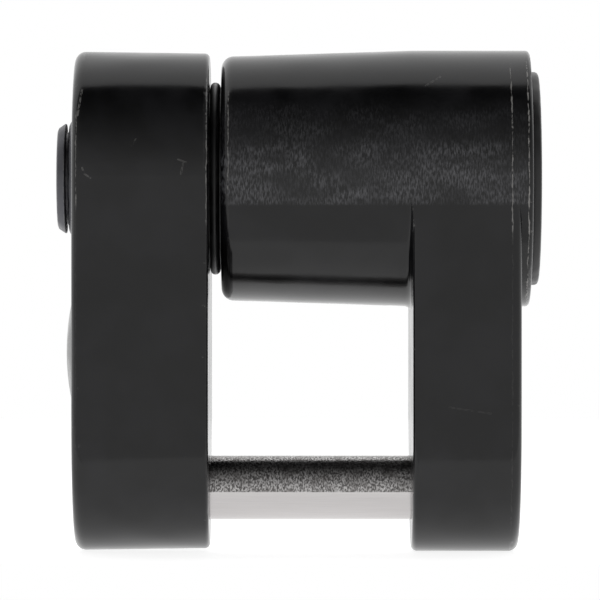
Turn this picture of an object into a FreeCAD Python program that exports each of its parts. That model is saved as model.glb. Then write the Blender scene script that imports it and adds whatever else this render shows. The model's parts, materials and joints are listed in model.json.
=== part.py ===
import FreeCAD, Part
import math
import os

# Trailer coupler latch lock: a pull-off locking head on a lock body, closing a 1/4 inch
# latch pin over a 3/4 inch wide coupler latch.
# Millimetres. The origin is the middle of the bare latch pin, +X runs along the pin to
# the key end, +Z points from the latch pin to the lock barrel, and -Y is the front.

# Latch pin and the opening it crosses
PIN_RADIUS = 3.175
SPAN = 19.94
PIN_END_PLAY = 0.05
TENON_RADIUS = 2.9
TENON_LENGTH = 8.0
NOSE_RADIUS = 2.8
NOSE_LENGTH = 8.4
NOSE_CHAMFER = 0.8

# Lock axis, and the half-round outline that the head and the leg share
AXIS_Z = 30.7
FOOT_ROUND_Z = 6.4
LEG_RADIUS = 12.7
LEG_THICKNESS = 10.58
LEG_EDGE_FILLET = 0.93
LEG_INNER_FILLET = 0.6

# Barrel
HEAD_GAP = 1.17
BARREL_MOUTH_RADIUS = 12.1
BARREL_MOUTH_FILLET = 1.2
BARREL_END_FILLET = 0.4
BARREL_PROUD = 1.15
BARREL_WEB_FILLET = 0.7
MOUTH_CHAMFER = 0.5

# Locking head
HEAD_THICKNESS = 13.33
HEAD_OUTER_RADIUS = 12.6
HEAD_INNER_RADIUS = 12.42
HEAD_OUTER_FILLET = 1.05
HEAD_INNER_FILLET = 0.5
BOSS_RADIUS = 9.24
BOSS_LENGTH = 6.0
BOSS_CHAMFER = 0.5

# Seal on the neck of the head
SEAL_SECTION_RADIUS = 0.5
SEAL_STANDS_OUT = 0.3

# Locking stud, its washer and its clip
STUD_RADIUS = 4.0
STUD_GROOVE_RADIUS = 2.4
STUD_TIP_LENGTH = 2.0
STUD_TIP_CHAMFER = 0.6
STUD_HEAD_STEP = 1.46
STUD_HEAD_THICKNESS = 0.88
STUD_HEAD_FILLET = 0.3
STUD_NECK_STEP = 0.6
STUD_NECK_LENGTH = 0.27
WASHER_BASE_STEP = 2.1
WASHER_TOP_STEP = 1.0
WASHER_THICKNESS = 0.6
CLIP_STEP = 1.4
CLIP_THICKNESS = 0.7
CLIP_GROOVE_DEPTH = 0.6
CLIP_GAP_WIDTH = 4.5

# Blank medallion on the head
MEDALLION_Z = 13.5
MEDALLION_RADIUS = 6.9
MEDALLION_DOME = 0.9
MEDALLION_SEAT = 0.5

# Locking bolt and the cam that lifts it
BOLT_WIDTH = 13.0
BOLT_PLATE = 2.6
BOLT_POCKET = 2.6
BOLT_WALL = 2.0
CAM_THROW = 2.6
CAM_PIN_RADIUS = 0.8
CAM_RIM = 0.5
CAM_THICKNESS = 1.5
TONGUE_WIDTH = 2.4
TONGUE_LENGTH = 5.0
TONGUE_HEIGHT = 1.0
SCREW_RADIUS = 0.8
SCREW_HEAD_RADIUS = 1.55
SCREW_HEAD_HEIGHT = 0.8
SCREW_LENGTH = 3.3
SCREW_SLOT_WIDTH = 0.5
SCREW_SLOT_DEPTH = 0.35

# Key cylinder
CORE_RADIUS = 9.95
CORE_RECESS = 1.8
PLUG_RADIUS = 4.6
PLUG_FLANGE_STEP = 1.0
PLUG_FLANGE_LENGTH = 1.0
KEYWAY_WIDTH = 1.5
KEYWAY_BOTTOM = -3.6
KEYWAY_TOP = 2.4
WARD_DEPTH = 0.5
WARD_BOTTOM = -1.9
WARD_TOP = -0.7
KEY_TIP_ROOM = 1.3
CORE_PIN_RADIUS = 0.8
CORE_PIN_DEPTH = 2.4
CORE_PIN_BELOW_SKIN = 0.3
CORE_PIN_WALL = 1.19

# Pin tumblers
TUMBLER_RADIUS = 0.98
TUMBLER_PITCH = 2.3
FIRST_TUMBLER_SETBACK = 3.0
KEY_CUTS = (0.2, 1.0, 0.6, 1.4)
CHAMBER_FLOOR = -0.6
TUMBLER_POINT = 0.55
DRIVER_LENGTH = 2.0
DRIVER_CHAMFER = 0.2
COVER_WIDTH = 3.2
COVER_THICKNESS = 0.7
COVER_END_MARGIN = 1.4
COVER_BELOW_CORE = 0.02
SPRING_WIRE_RADIUS = 0.12
SPRING_PITCH = 0.42
SPRING_STEPS_PER_TURN = 16

# Dust cap
CAP_RADIUS = 10.58
CAP_THICKNESS = 1.0
CAP_CROWN = 0.15
CAP_EDGE_FILLET = 0.35
CAP_SKIRT_WALL = 1.3
CAP_SKIRT_LENGTH = 1.5
CAP_SEAT_GAP = 0.04

# Clearances, on the radius or on one side
PRESS = 0.01
RUNNING = 0.05
SLIDING = 0.1
BOSS_CLEARANCE = 0.16
NOSE_CLEARANCE = 0.15
STUD_ENTRY = 0.3
STUD_GRIP = 0.15
STUD_END_PLAY = 0.15
BOLT_END_PLAY = 0.2
CAM_SLOT_CLEARANCE = 0.15
BOLT_BORE_CLEARANCE = 0.15
SPRING_CLEARANCE = 0.05
CAP_CLEARANCE = 0.1

# Planes along X
LEG_INNER_X = SPAN / 2
LEG_OUTER_X = LEG_INNER_X + LEG_THICKNESS
BARREL_END_X = LEG_OUTER_X + BARREL_PROUD
HEAD_INNER_X = -SPAN / 2
BARREL_MOUTH_X = HEAD_INNER_X + HEAD_GAP
HEAD_OUTER_X = HEAD_INNER_X - HEAD_THICKNESS
BOSS_END_X = HEAD_INNER_X + BOSS_LENGTH
CORE_FACE_X = BARREL_END_X - CORE_RECESS
CLIP_END_X = BOSS_END_X + CLIP_THICKNESS
CORE_SHOULDER_X = CLIP_END_X + BOLT_END_PLAY
CORE_END_X = CORE_SHOULDER_X + SLIDING
BOLT_FRONT_X = CORE_END_X + BOLT_END_PLAY
BOLT_POCKET_X = BOLT_FRONT_X + BOLT_PLATE
BOLT_WALL_X = BOLT_POCKET_X + BOLT_POCKET
BOLT_BACK_X = BOLT_WALL_X + BOLT_WALL
CAM_FRONT_X = BOLT_BACK_X + BOLT_END_PLAY
PLUG_END_X = CAM_FRONT_X + CAM_THICKNESS
CORE_WEB_X = PLUG_END_X + RUNNING

# Sizes that follow from the fits
STUD_HEAD_RADIUS = STUD_RADIUS + STUD_HEAD_STEP
STUD_NECK_RADIUS = STUD_RADIUS + STUD_NECK_STEP
WASHER_BASE_RADIUS = STUD_RADIUS + WASHER_BASE_STEP
WASHER_TOP_RADIUS = STUD_RADIUS + WASHER_TOP_STEP
CLIP_RADIUS = STUD_RADIUS + CLIP_STEP
PLUG_FLANGE_RADIUS = PLUG_RADIUS + PLUG_FLANGE_STEP
CAM_RADIUS = CAM_THROW + CAM_PIN_RADIUS + CAM_RIM
BORE_RADIUS = BOSS_RADIUS + BOSS_CLEARANCE
CORE_BORE_RADIUS = CORE_RADIUS + RUNNING
SHEAR_RADIUS = PLUG_RADIUS + RUNNING
CHAMBER_RADIUS = TUMBLER_RADIUS + RUNNING
COVER_TOP = math.sqrt(CORE_RADIUS**2 - COVER_WIDTH**2 / 4) - COVER_BELOW_CORE
COVER_UNDERSIDE = COVER_TOP - COVER_THICKNESS
BOLT_SHIFT = CAM_THROW / math.sqrt(2)
BOLT_CENTRE_Z = AXIS_Z - BOLT_SHIFT
STUD_GROOVE_X = BOLT_FRONT_X - STUD_END_PLAY
STUD_FLANGE_X = BOLT_POCKET_X + STUD_END_PLAY
STUD_TIP_X = STUD_FLANGE_X + STUD_TIP_LENGTH
WASHER_FACE_X = HEAD_OUTER_X - WASHER_THICKNESS
STUD_RIM_X = WASHER_FACE_X - STUD_NECK_LENGTH
TUMBLER_XS = [CORE_FACE_X - FIRST_TUMBLER_SETBACK - i * TUMBLER_PITCH for i in range(len(KEY_CUTS))]
KEYWAY_END_X = TUMBLER_XS[-1] - KEY_TIP_ROOM
CORE_PIN_X = CORE_WEB_X + CORE_PIN_WALL + CORE_PIN_RADIUS
DRAFT = (LEG_RADIUS - BARREL_MOUTH_RADIUS) / (LEG_INNER_X - BARREL_MOUTH_X)


def V(x, y, z):
    return FreeCAD.Vector(x, y, z)


def rod(x0, x1, radius, y=0.0, z=AXIS_Z):
    """A round bar along X, on the lock axis unless placed elsewhere."""
    return Part.makeCylinder(radius, x1 - x0, V(x0, y, z), V(1, 0, 0))


def post(x, z0, z1, radius):
    """A round bar along Z, in the middle of the lock."""
    return Part.makeCylinder(radius, z1 - z0, V(x, 0, z0), V(0, 0, 1))


def block(x0, x1, y0, y1, z0, z1):
    """A box between six planes."""
    return Part.makeBox(x1 - x0, y1 - y0, z1 - z0, V(x0, y0, z0))


def turned(profile, z=AXIS_Z):
    """A lathe part about an axis along X, from (x, radius) points in order along it."""
    outline = [V(profile[0][0], 0, z)]
    outline += [V(x, 0, z + radius) for x, radius in profile]
    outline += [V(profile[-1][0], 0, z), outline[0]]
    return Part.Face(Part.makePolygon(outline)).revolve(V(0, 0, z), V(1, 0, 0), 360)


def stadium(x0, x1, radius, first, second):
    """A slot along X, round at both ends, between two (y, z) centres that line up."""
    (y0, z0), (y1, z1) = first, second
    ends = [rod(x0, x1, radius, y0, z0), rod(x0, x1, radius, y1, z1)]
    if y0 == y1:
        middle = block(x0, x1, y0 - radius, y0 + radius, min(z0, z1), max(z0, z1))
    else:
        middle = block(x0, x1, min(y0, y1), max(y0, y1), z0 - radius, z0 + radius)
    return middle.fuse(ends).removeSplitter()


def obround(x, radius):
    """The closed outline of a side block: half-round top and bottom, flat front and back."""
    top, bottom = AXIS_Z, FOOT_ROUND_Z
    return Part.Wire([
        Part.Arc(V(x, -radius, top), V(x, 0, top + radius), V(x, radius, top)).toShape(),
        Part.makeLine(V(x, radius, top), V(x, radius, bottom)),
        Part.Arc(V(x, radius, bottom), V(x, 0, bottom - radius), V(x, -radius, bottom)).toShape(),
        Part.makeLine(V(x, -radius, bottom), V(x, -radius, top)),
    ])


def obround_slab(x0, x1, radius):
    """A side block with straight walls."""
    return Part.Face(obround(x0, radius)).extrude(V(x1 - x0, 0, 0))


def edges_at(shape, x):
    """The edges of a shape that lie in one plane across X."""
    near = 1e-4
    return [e for e in shape.Edges if abs(e.BoundBox.XMin - x) < near and abs(e.BoundBox.XMax - x) < near]


def barrel_radius(x):
    """The barrel's outside, which narrows towards its mouth."""
    return LEG_RADIUS - DRAFT * max(0.0, LEG_INNER_X - x)


def barrel():
    """The outside of the lock barrel, with its two rounded ends."""
    solid = turned([
        (BARREL_MOUTH_X, BARREL_MOUTH_RADIUS),
        (LEG_INNER_X, LEG_RADIUS),
        (BARREL_END_X, LEG_RADIUS),
    ])
    solid = solid.makeFillet(BARREL_MOUTH_FILLET, edges_at(solid, BARREL_MOUTH_X))
    return solid.makeFillet(BARREL_END_FILLET, edges_at(solid, BARREL_END_X))


def leg():
    """The side block that carries the latch pin."""
    solid = obround_slab(LEG_INNER_X, LEG_OUTER_X, LEG_RADIUS)
    solid = solid.makeFillet(LEG_INNER_FILLET, edges_at(solid, LEG_INNER_X))
    return solid.makeFillet(LEG_EDGE_FILLET, edges_at(solid, LEG_OUTER_X))


def web_fillet():
    """The hollow round between the underside of the barrel and the inner face of the leg."""
    size = BARREL_WEB_FILLET
    x0 = LEG_INNER_X - size
    x1 = LEG_INNER_X + LEG_INNER_FILLET
    low = barrel_radius(x0)
    chord = size * (1 - math.cos(math.pi / 4))
    arc = Part.Arc(
        V(x0, 0, AXIS_Z + low),
        V(LEG_INNER_X - chord, 0, AXIS_Z + low + chord),
        V(LEG_INNER_X, 0, AXIS_Z + low + size),
    ).toShape()
    back = Part.makePolygon([
        V(LEG_INNER_X, 0, AXIS_Z + low + size),
        V(x1, 0, AXIS_Z + low + size),
        V(x1, 0, AXIS_Z + low - size),
        V(x0, 0, AXIS_Z + low - size),
        V(x0, 0, AXIS_Z + low),
    ])
    ring = Part.Face(Part.Wire([arc] + back.Edges)).revolve(V(0, 0, AXIS_Z), V(1, 0, 0), 360)
    lower_half = block(x0, x1, -LEG_RADIUS, LEG_RADIUS, FOOT_ROUND_Z, AXIS_Z)
    return ring.common(obround_slab(x0, x1, LEG_RADIUS)).common(lower_half)


def lock_body():
    """The die-cast body: barrel and leg in one piece, bored for the head and the key cylinder."""
    solid = barrel().fuse([leg(), web_fillet()]).removeSplitter()
    cuts = [
        rod(BARREL_MOUTH_X, CORE_SHOULDER_X, BORE_RADIUS),
        turned([
            (BARREL_MOUTH_X, BORE_RADIUS + MOUTH_CHAMFER),
            (BARREL_MOUTH_X + MOUTH_CHAMFER, BORE_RADIUS),
        ]),
        rod(CORE_SHOULDER_X, BARREL_END_X, CORE_BORE_RADIUS),
        rod(LEG_INNER_X, LEG_INNER_X + TENON_LENGTH + SLIDING, TENON_RADIUS + PRESS, z=0),
        post(CORE_PIN_X, AXIS_Z - LEG_RADIUS, AXIS_Z - CORE_RADIUS + SLIDING, CORE_PIN_RADIUS + PRESS),
    ]
    return solid.cut(cuts)


def latch_pin():
    """The bare steel pin: a tenon in the leg, and a nose that the head slips over."""
    face = HEAD_INNER_X + PIN_END_PLAY
    nose = HEAD_INNER_X - NOSE_LENGTH
    return turned([
        (nose, NOSE_RADIUS - NOSE_CHAMFER),
        (nose + NOSE_CHAMFER, NOSE_RADIUS),
        (face, NOSE_RADIUS),
        (face, PIN_RADIUS),
        (LEG_INNER_X, PIN_RADIUS),
        (LEG_INNER_X, TENON_RADIUS),
        (LEG_INNER_X + TENON_LENGTH, TENON_RADIUS),
    ], z=0)


def locking_head():
    """The pull-off side block, with the boss that enters the barrel."""
    outlines = [obround(HEAD_OUTER_X, HEAD_OUTER_RADIUS), obround(HEAD_INNER_X, HEAD_INNER_RADIUS)]
    solid = Part.makeLoft(outlines, True, True)
    solid = solid.makeFillet(HEAD_OUTER_FILLET, edges_at(solid, HEAD_OUTER_X))
    solid = solid.makeFillet(HEAD_INNER_FILLET, edges_at(solid, HEAD_INNER_X))
    boss = turned([
        (HEAD_INNER_X - HEAD_THICKNESS / 2, BOSS_RADIUS),
        (BOSS_END_X - BOSS_CHAMFER, BOSS_RADIUS),
        (BOSS_END_X, BOSS_RADIUS - BOSS_CHAMFER),
    ])
    solid = solid.fuse(boss)
    seal_floor = BOSS_RADIUS + SEAL_STANDS_OUT - 2 * SEAL_SECTION_RADIUS - PRESS
    seal_end = HEAD_INNER_X + 2 * (SEAL_SECTION_RADIUS + RUNNING)
    seal_groove = rod(HEAD_INNER_X, seal_end, BOSS_RADIUS + SEAL_STANDS_OUT)
    cuts = [
        seal_groove.cut(rod(HEAD_INNER_X, seal_end, seal_floor)),
        rod(HEAD_OUTER_X, BOSS_END_X, STUD_RADIUS + RUNNING),
        rod(HEAD_OUTER_X, HEAD_OUTER_X + MEDALLION_SEAT, MEDALLION_RADIUS + PRESS, z=MEDALLION_Z),
        rod(HEAD_INNER_X - NOSE_LENGTH - SLIDING, HEAD_INNER_X, NOSE_RADIUS + NOSE_CLEARANCE, z=0),
    ]
    return solid.cut(cuts)


def neck_seal():
    """The rubber ring on the neck, between the head and the mouth of the barrel."""
    x = HEAD_INNER_X + RUNNING + SEAL_SECTION_RADIUS
    radius = BOSS_RADIUS + SEAL_STANDS_OUT - SEAL_SECTION_RADIUS
    return Part.makeTorus(radius, SEAL_SECTION_RADIUS, V(x, 0, AXIS_Z), V(1, 0, 0))


def locking_stud():
    """The steel stud through the head: rim outside, groove and tip inside the barrel."""
    rim_back = STUD_RIM_X - STUD_HEAD_THICKNESS
    clip_floor = STUD_RADIUS - CLIP_GROOVE_DEPTH
    solid = turned([
        (rim_back, STUD_HEAD_RADIUS),
        (STUD_RIM_X, STUD_HEAD_RADIUS),
        (STUD_RIM_X, STUD_NECK_RADIUS),
        (WASHER_FACE_X, STUD_NECK_RADIUS),
        (WASHER_FACE_X, STUD_RADIUS),
        (BOSS_END_X, STUD_RADIUS),
        (BOSS_END_X, clip_floor),
        (CLIP_END_X, clip_floor),
        (CLIP_END_X, STUD_RADIUS),
        (STUD_GROOVE_X, STUD_RADIUS),
        (STUD_GROOVE_X, STUD_GROOVE_RADIUS),
        (STUD_FLANGE_X, STUD_GROOVE_RADIUS),
        (STUD_FLANGE_X, STUD_RADIUS),
        (STUD_TIP_X - STUD_TIP_CHAMFER, STUD_RADIUS),
        (STUD_TIP_X, STUD_RADIUS - STUD_TIP_CHAMFER),
    ])
    return solid.makeFillet(STUD_HEAD_FILLET, edges_at(solid, rim_back))


def stud_washer():
    """The coned washer between the stud's rim and the face of the head."""
    ring = turned([(WASHER_FACE_X, WASHER_TOP_RADIUS), (HEAD_OUTER_X, WASHER_BASE_RADIUS)])
    return ring.cut(rod(WASHER_FACE_X, HEAD_OUTER_X, STUD_RADIUS + RUNNING))


def stud_clip():
    """The open spring clip that holds the stud in the head."""
    ring = rod(BOSS_END_X, CLIP_END_X, CLIP_RADIUS)
    inside = rod(BOSS_END_X, CLIP_END_X, STUD_RADIUS - CLIP_GROOVE_DEPTH + PRESS)
    half = CLIP_GAP_WIDTH / 2
    gap = block(BOSS_END_X, CLIP_END_X, -half, half, AXIS_Z - CLIP_RADIUS, AXIS_Z)
    return ring.cut([inside, gap])


def blank_medallion():
    """The plain domed disc set into the face of the head."""
    disc = rod(HEAD_OUTER_X, HEAD_OUTER_X + MEDALLION_SEAT, MEDALLION_RADIUS, z=MEDALLION_Z)
    ball_radius = (MEDALLION_RADIUS**2 + MEDALLION_DOME**2) / (2 * MEDALLION_DOME)
    crown_x = HEAD_OUTER_X - MEDALLION_DOME
    ball = Part.makeSphere(ball_radius, V(crown_x + ball_radius, 0, MEDALLION_Z))
    dome = ball.common(rod(crown_x, HEAD_OUTER_X, MEDALLION_RADIUS, z=MEDALLION_Z))
    return disc.fuse(dome).removeSplitter()


def locking_bolt():
    """The sliding keyhole plate that grips the stud, with the cam slot in its back wall."""
    radius = CORE_BORE_RADIUS - BOLT_BORE_CLEARANCE
    upper, lower = BOLT_CENTRE_Z + BOLT_SHIFT, BOLT_CENTRE_Z - BOLT_SHIFT
    half = BOLT_WIDTH / 2
    lens = rod(BOLT_FRONT_X, BOLT_BACK_X, radius, z=upper)
    lens = lens.common(rod(BOLT_FRONT_X, BOLT_BACK_X, radius, z=lower))
    lens = lens.common(block(BOLT_FRONT_X, BOLT_BACK_X, -half, half, lower - radius, upper + radius))
    entry = STUD_RADIUS + STUD_ENTRY
    grip = STUD_GROOVE_RADIUS + STUD_GRIP
    slot = CAM_PIN_RADIUS + CAM_SLOT_CLEARANCE
    cuts = [
        rod(BOLT_FRONT_X, BOLT_POCKET_X, entry, z=upper),
        stadium(BOLT_FRONT_X, BOLT_POCKET_X, grip, (0, upper), (0, lower)),
        stadium(BOLT_POCKET_X, BOLT_WALL_X, entry, (0, upper), (0, lower)),
        stadium(BOLT_WALL_X, BOLT_BACK_X, slot, (-BOLT_SHIFT, BOLT_CENTRE_Z), (-CAM_THROW, BOLT_CENTRE_Z)),
    ]
    return lens.cut(cuts)


def cam_screw():
    """The flat-headed screw that holds the cam on the plug."""
    tip = CAM_FRONT_X + SCREW_LENGTH
    screw = turned([
        (CAM_FRONT_X, SCREW_HEAD_RADIUS),
        (CAM_FRONT_X + SCREW_HEAD_HEIGHT, SCREW_RADIUS),
        (tip, SCREW_RADIUS),
    ])
    half = SCREW_SLOT_WIDTH / 2
    slot_end = CAM_FRONT_X + SCREW_SLOT_DEPTH
    slot = block(CAM_FRONT_X, slot_end, -SCREW_HEAD_RADIUS, SCREW_HEAD_RADIUS, AXIS_Z - half, AXIS_Z + half)
    return screw.cut(slot)


def screw_hole():
    """The hole for the cam screw, countersunk in the cam."""
    return turned([
        (CAM_FRONT_X, SCREW_HEAD_RADIUS + PRESS),
        (CAM_FRONT_X + SCREW_HEAD_HEIGHT, SCREW_RADIUS + PRESS),
        (CAM_FRONT_X + SCREW_LENGTH + SLIDING, SCREW_RADIUS + PRESS),
    ])


def tongue(clearance=0.0):
    """The flat tongue on the cam that turns with the slot in the plug."""
    length = TONGUE_LENGTH / 2 + clearance
    width = TONGUE_WIDTH / 2 + clearance
    x1 = PLUG_END_X + TONGUE_HEIGHT + clearance
    return block(PLUG_END_X, x1, -length, length, AXIS_Z - width, AXIS_Z + width)


def drive_cam():
    """The disc on the end of the plug, with the off-centre pin that moves the bolt."""
    disc = rod(CAM_FRONT_X, PLUG_END_X, CAM_RADIUS)
    pin = rod(BOLT_WALL_X + BOLT_END_PLAY, CAM_FRONT_X, CAM_PIN_RADIUS, -BOLT_SHIFT, BOLT_CENTRE_Z)
    return disc.fuse([pin, tongue()]).cut(screw_hole())


def key_plug():
    """The turning plug: keyway, four tumbler chambers and a slot for the cam."""
    flange_x = CORE_FACE_X - PLUG_FLANGE_LENGTH
    plug = turned([
        (PLUG_END_X, PLUG_RADIUS),
        (flange_x, PLUG_RADIUS),
        (flange_x, PLUG_FLANGE_RADIUS),
        (CORE_FACE_X, PLUG_FLANGE_RADIUS),
    ])
    half = KEYWAY_WIDTH / 2
    keyway = block(KEYWAY_END_X, CORE_FACE_X, -half, half, AXIS_Z + KEYWAY_BOTTOM, AXIS_Z + KEYWAY_TOP)
    ward = block(
        KEYWAY_END_X, CORE_FACE_X, 0, half + WARD_DEPTH, AXIS_Z + WARD_BOTTOM, AXIS_Z + WARD_TOP
    )
    floor = AXIS_Z + CHAMBER_FLOOR - RUNNING
    chambers = [post(x, floor, AXIS_Z + SHEAR_RADIUS, CHAMBER_RADIUS) for x in TUMBLER_XS]
    return plug.cut([keyway, ward, screw_hole(), tongue(PRESS)] + chambers)


def core_housing():
    """The fixed cylinder around the plug, with two cheeks that guide the bolt."""
    solid = rod(CORE_END_X, CORE_FACE_X, CORE_RADIUS)
    channel = BOLT_WIDTH / 2 + RUNNING
    flange_x = CORE_FACE_X - PLUG_FLANGE_LENGTH - RUNNING
    cover_x0, cover_x1 = cover_ends()
    cover_y = COVER_WIDTH / 2 + PRESS
    cover_z = AXIS_Z + COVER_UNDERSIDE
    cuts = [
        block(CORE_END_X, CORE_WEB_X, -channel, channel, AXIS_Z - CORE_RADIUS, AXIS_Z + CORE_RADIUS),
        rod(CORE_WEB_X, CORE_FACE_X, SHEAR_RADIUS),
        rod(flange_x, CORE_FACE_X, PLUG_FLANGE_RADIUS + RUNNING),
        block(cover_x0 - PRESS, cover_x1 + PRESS, -cover_y, cover_y, cover_z, AXIS_Z + CORE_RADIUS),
        core_pin(PRESS),
    ]
    cuts += [post(x, AXIS_Z, cover_z, CHAMBER_RADIUS) for x in TUMBLER_XS]
    return solid.cut(cuts)


def core_pin(clearance=0.0):
    """The pin up through the underside of the barrel that keeps the key cylinder in."""
    bottom = AXIS_Z - barrel_radius(CORE_PIN_X) + CORE_PIN_BELOW_SKIN
    top = AXIS_Z - CORE_RADIUS + CORE_PIN_DEPTH + clearance
    return post(CORE_PIN_X, bottom, top, CORE_PIN_RADIUS + clearance)


def cover_ends():
    """Where the chamber cover starts and ends along X."""
    margin = CHAMBER_RADIUS + COVER_END_MARGIN - TUMBLER_RADIUS
    return TUMBLER_XS[-1] - margin, TUMBLER_XS[0] + margin


def chamber_cover():
    """The strip that closes the tops of the four tumbler chambers."""
    x0, x1 = cover_ends()
    half = COVER_WIDTH / 2
    return block(x0, x1, -half, half, AXIS_Z + COVER_UNDERSIDE, AXIS_Z + COVER_TOP)


def key_pin(x, cut):
    """A pointed pin in the plug, standing at the height of its cut on the key."""
    top = math.sqrt(PLUG_RADIUS**2 - TUMBLER_RADIUS**2)
    point = Part.makeCone(0, TUMBLER_RADIUS, TUMBLER_POINT, V(x, 0, AXIS_Z + cut), V(0, 0, 1))
    return point.fuse(post(x, AXIS_Z + cut + TUMBLER_POINT, AXIS_Z + top, TUMBLER_RADIUS)).removeSplitter()


def driver_pin(x):
    """A flat-ended pin in the housing, just clear of the plug."""
    z0 = AXIS_Z + SHEAR_RADIUS
    pin = post(x, z0, z0 + DRIVER_LENGTH, TUMBLER_RADIUS)
    ends = [e for e in pin.Edges if len(e.Vertexes) == 1]
    return pin.makeChamfer(DRIVER_CHAMFER, ends)


def pin_spring(x):
    """The coil spring between a driver pin and the chamber cover."""
    z0 = AXIS_Z + SHEAR_RADIUS + DRIVER_LENGTH + RUNNING + SPRING_WIRE_RADIUS
    z1 = AXIS_Z + COVER_UNDERSIDE - RUNNING - SPRING_WIRE_RADIUS
    radius = CHAMBER_RADIUS - SPRING_CLEARANCE - SPRING_WIRE_RADIUS
    steps = round((z1 - z0) / SPRING_PITCH * SPRING_STEPS_PER_TURN)
    points = []
    for step in range(steps + 1):
        height = (z1 - z0) * step / steps
        turn = 2 * math.pi * height / SPRING_PITCH
        points.append(V(x + radius * math.cos(turn), radius * math.sin(turn), z0 + height))
    coil = Part.BSplineCurve()
    coil.interpolate(points)
    direction = coil.tangent(coil.FirstParameter)[0]
    section = Part.Wire([Part.makeCircle(SPRING_WIRE_RADIUS, points[0], direction)])
    return Part.Wire([coil.toShape()]).makePipeShell([section], True, True)


def dust_cap():
    """The pull-off cap over the key cylinder, with a skirt inside the barrel."""
    back = BARREL_END_X + CAP_SEAT_GAP
    edge = back + CAP_THICKNESS - CAP_CROWN
    face = back + CAP_THICKNESS
    crown_radius = (CAP_RADIUS**2 + CAP_CROWN**2) / (2 * CAP_CROWN)
    disc = rod(back, face, CAP_RADIUS)
    disc = disc.common(Part.makeSphere(crown_radius, V(face - crown_radius, 0, AXIS_Z)))
    disc = disc.makeFillet(CAP_EDGE_FILLET, edges_at(disc, edge))
    outside = CORE_BORE_RADIUS - CAP_CLEARANCE
    skirt_x = BARREL_END_X - CAP_SKIRT_LENGTH
    skirt = rod(skirt_x, back, outside).cut(rod(skirt_x, back, outside - CAP_SKIRT_WALL))
    return disc.fuse(skirt).removeSplitter()


NODES = {
    "lock_body": lock_body(),
    "latch_pin": latch_pin(),
    "locking_head": locking_head(),
    "neck_seal": neck_seal(),
    "locking_stud": locking_stud(),
    "stud_washer": stud_washer(),
    "stud_clip": stud_clip(),
    "blank_medallion": blank_medallion(),
    "locking_bolt": locking_bolt(),
    "drive_cam": drive_cam(),
    "cam_screw": cam_screw(),
    "key_plug": key_plug(),
    "core_housing": core_housing(),
    "core_pin": core_pin(),
    "chamber_cover": chamber_cover(),
    "dust_cap": dust_cap(),
}
for number, (tumbler_x, tumbler_cut) in enumerate(zip(TUMBLER_XS, KEY_CUTS), 1):
    NODES[f"key_pin_{number}"] = key_pin(tumbler_x, tumbler_cut)
    NODES[f"driver_pin_{number}"] = driver_pin(tumbler_x)
    NODES[f"pin_spring_{number}"] = pin_spring(tumbler_x)

os.makedirs("parts", exist_ok=True)
for name, shape in NODES.items():
    shape.exportStep(f"parts/{name}.step")
    print(f"{name:16s} solids {len(shape.Solids)}  volume {shape.Volume:9.2f} mm3  valid {shape.isValid()}")
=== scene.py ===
"""A pin lock for a trailer coupler latch, standing on its leg ends in soft studio light."""

import json
import math

import bpy
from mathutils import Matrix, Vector


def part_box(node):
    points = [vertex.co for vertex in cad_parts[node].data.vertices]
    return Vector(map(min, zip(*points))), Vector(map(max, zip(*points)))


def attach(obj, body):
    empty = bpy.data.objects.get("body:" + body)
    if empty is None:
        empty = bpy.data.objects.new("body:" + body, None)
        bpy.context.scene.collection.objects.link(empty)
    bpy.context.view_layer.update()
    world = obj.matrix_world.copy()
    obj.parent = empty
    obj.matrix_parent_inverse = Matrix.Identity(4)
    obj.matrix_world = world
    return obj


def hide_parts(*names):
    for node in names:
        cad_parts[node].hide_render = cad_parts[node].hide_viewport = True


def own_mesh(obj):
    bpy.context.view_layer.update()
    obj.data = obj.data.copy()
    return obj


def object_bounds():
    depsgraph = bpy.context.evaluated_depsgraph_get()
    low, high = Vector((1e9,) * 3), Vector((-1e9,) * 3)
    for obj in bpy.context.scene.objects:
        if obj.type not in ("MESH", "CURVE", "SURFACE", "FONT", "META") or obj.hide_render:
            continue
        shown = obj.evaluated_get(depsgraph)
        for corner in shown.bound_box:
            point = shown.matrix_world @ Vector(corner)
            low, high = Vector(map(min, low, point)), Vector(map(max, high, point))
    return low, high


MM = 0.001

# the coil springs: the wire's radius and the rise of one turn
SPRING_WIRE_MM = 0.12
SPRING_PITCH_MM = 0.42

# the stud's radii, from its shank in to the groove that the bolt grips
STUD_MM = 4.0
STUD_CLIP_GROOVE_MM = 3.4
STUD_LOCK_GROOVE_MM = 2.4

# the camera: how far it stands from the lock, what it looks at, and its lens
CAMERA_DISTANCE_MM = 550
CAMERA_AIM_X_MM = -1.03
CAMERA_AIM_Z_MM = 18.63
CAMERA_LENS_MM = 332
CAMERA_SENSOR_MM = 36

# the table: its size, and how far it reaches in front of the lock
TABLE_WIDTH_M = 1.2
TABLE_DEPTH_M = 0.627
TABLE_FRONT_M = 0.027

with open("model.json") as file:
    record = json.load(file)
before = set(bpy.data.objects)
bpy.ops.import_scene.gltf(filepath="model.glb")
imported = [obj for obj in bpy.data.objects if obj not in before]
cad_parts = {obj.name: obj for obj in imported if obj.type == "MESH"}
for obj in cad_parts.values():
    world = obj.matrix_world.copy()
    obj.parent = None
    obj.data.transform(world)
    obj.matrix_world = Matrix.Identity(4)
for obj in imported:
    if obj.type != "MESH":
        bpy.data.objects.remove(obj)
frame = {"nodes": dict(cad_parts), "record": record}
cad_low, cad_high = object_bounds()


# ---------------------------------------------------------------- material tools


def linear(hex_colour):
    """An sRGB hex colour as the linear colour that a shader takes."""
    channels = [int(hex_colour[i : i + 2], 16) / 255 for i in (1, 3, 5)]
    straight = [c / 12.92 if c <= 0.04045 else ((c + 0.055) / 1.055) ** 2.4 for c in channels]
    return (*straight, 1.0)


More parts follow.
